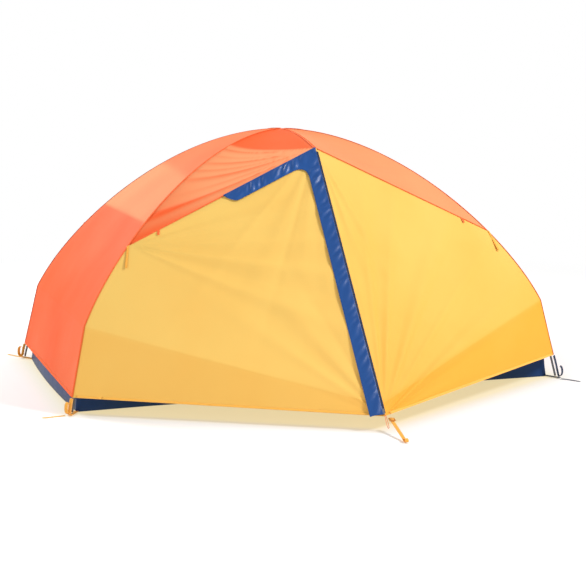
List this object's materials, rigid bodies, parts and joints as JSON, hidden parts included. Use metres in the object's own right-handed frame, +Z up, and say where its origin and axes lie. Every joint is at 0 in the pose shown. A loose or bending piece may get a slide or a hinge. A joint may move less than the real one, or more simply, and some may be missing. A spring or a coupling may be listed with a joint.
{
  "type": "dome tent",
  "caption": "Dome tent: crossed long poles and a short top pole hold an inner tent under a fly with a zipped vestibule door on each long side.",
  "frame": {"origin": "on the ground, midway between the four pole feet", "axes": "+Z up, +X along the tent towards the dark foot end, -Y towards the front vestibule"},
  "size_m": [2.421, 2.8974, 1.1],
  "materials": {
    "tube": "anodised tube",
    "elastic": "braided elastic cord",
    "hub": "moulded nylon",
    "orange": "coated ripstop, orange",
    "yellow": "coated ripstop, golden yellow",
    "flap": "coated ripstop, blue",
    "floor": "coated floor fabric, navy",
    "mesh": "mosquito mesh and light fabric",
    "head_webbing": "woven webbing, golden",
    "foot_webbing": "woven webbing, dark",
    "pull": "thin braided cord",
    "buckle": "moulded plastic"
  },
  "bodies": {
    "tent": {"lower_pole_leg_front_left": "tube", "lower_pole_arch_front_left": "tube", "lower_pole_crown": "tube", "lower_pole_arch_back_right": "tube", "lower_pole_leg_back_right": "tube", "lower_pole_shock_cord": "elastic", "upper_pole_leg_front_right": "tube", "upper_pole_arch_front_right": "tube", "upper_pole_crown": "tube", "upper_pole_arch_back_left": "tube", "upper_pole_leg_back_left": "tube", "upper_pole_shock_cord": "elastic", "brow_pole_front": "tube", "brow_pole_back": "tube", "brow_pole_shock_cord": "elastic", "crown_hub": "hub", "floor_tub": "floor", "inner_canopy": "mesh", "pole_clip_front_left": "hub", "corner_webbing_front_left": "head_webbing", "fly_strap_front_left": "head_webbing", "stake_cord_front_left": "head_webbing", "guy_tab_front_left": "head_webbing", "pole_clip_back_right": "hub", "corner_webbing_back_right": "foot_webbing", "fly_strap_back_right": "foot_webbing", "stake_cord_back_right": "foot_webbing", "guy_tab_back_right": "foot_webbing", "pole_clip_front_right": "hub", "corner_webbing_front_right": "foot_webbing", "fly_strap_front_right": "foot_webbing", "stake_cord_front_right": "foot_webbing", "guy_tab_front_right": "foot_webbing", "pole_clip_back_left": "hub", "corner_webbing_back_left": "head_webbing", "fly_strap_back_left": "head_webbing", "stake_cord_back_left": "head_webbing", "guy_tab_back_left": "head_webbing", "fly_roof": "orange", "fly_end_left": "orange", "fly_end_right": "orange", "vestibule_side_front": "yellow", "vestibule_front": "yellow", "stake_strap_front": "head_webbing", "ladder_lock_front": "buckle", "vestibule_side_back": "yellow", "vestibule_back": "yellow", "stake_strap_back": "head_webbing", "ladder_lock_back": "buckle"},
    "door_front": {"vestibule_door_front": "yellow", "storm_flap_front": "flap"},
    "slider_front": {"zip_slider_front": "hub"},
    "pull_front": {"zip_pull_front": "pull"},
    "inner_door_front": {"inner_door_front": "mesh"},
    "door_back": {"vestibule_door_back": "yellow", "storm_flap_back": "flap"},
    "slider_back": {"zip_slider_back": "hub"},
    "pull_back": {"zip_pull_back": "pull"},
    "inner_door_back": {"inner_door_back": "mesh"}
  },
  "joints": [
    {"name": "front_door_swing", "type": "hinge", "parent": "tent", "child": "door_front", "pos_m": [-0.40672, -0.45, 0.84831], "axis": [-0.6158, -0.2998, -0.7286], "range_deg": [0, 90]},
    {"name": "front_zip_slide", "type": "slide", "parent": "door_front", "child": "slider_front", "axis": [0, 0.6324, 0.7747], "range_m": [0, 1.18]},
    {"name": "front_zip_pull_swing", "type": "hinge", "parent": "slider_front", "child": "pull_front", "pos_m": [0.0036, -1.24969, 0.06749], "axis": [-1, 0, 0], "range_deg": [0, 60]},
    {"name": "inner_front_door_swing", "type": "hinge", "parent": "tent", "child": "inner_door_front", "pos_m": [-0.417, -0.535, 0.188], "axis": [0, 0.1615, 0.9869], "range_deg": [0, 85]},
    {"name": "back_door_swing", "type": "hinge", "parent": "tent", "child": "door_back", "pos_m": [0.40672, 0.45, 0.84831], "axis": [0.6158, 0.2998, -0.7286], "range_deg": [0, 90]},
    {"name": "back_zip_slide", "type": "slide", "parent": "door_back", "child": "slider_back", "axis": [0, -0.6324, 0.7747], "range_m": [0, 1.18]},
    {"name": "back_zip_pull_swing", "type": "hinge", "parent": "slider_back", "child": "pull_back", "pos_m": [-0.0036, 1.24969, 0.06749], "axis": [1, 0, 0], "range_deg": [0, 60]},
    {"name": "inner_back_door_swing", "type": "hinge", "parent": "tent", "child": "inner_door_back", "pos_m": [0.417, 0.535, 0.188], "axis": [0, -0.1615, 0.9869], "range_deg": [0, 85]}
  ]
}
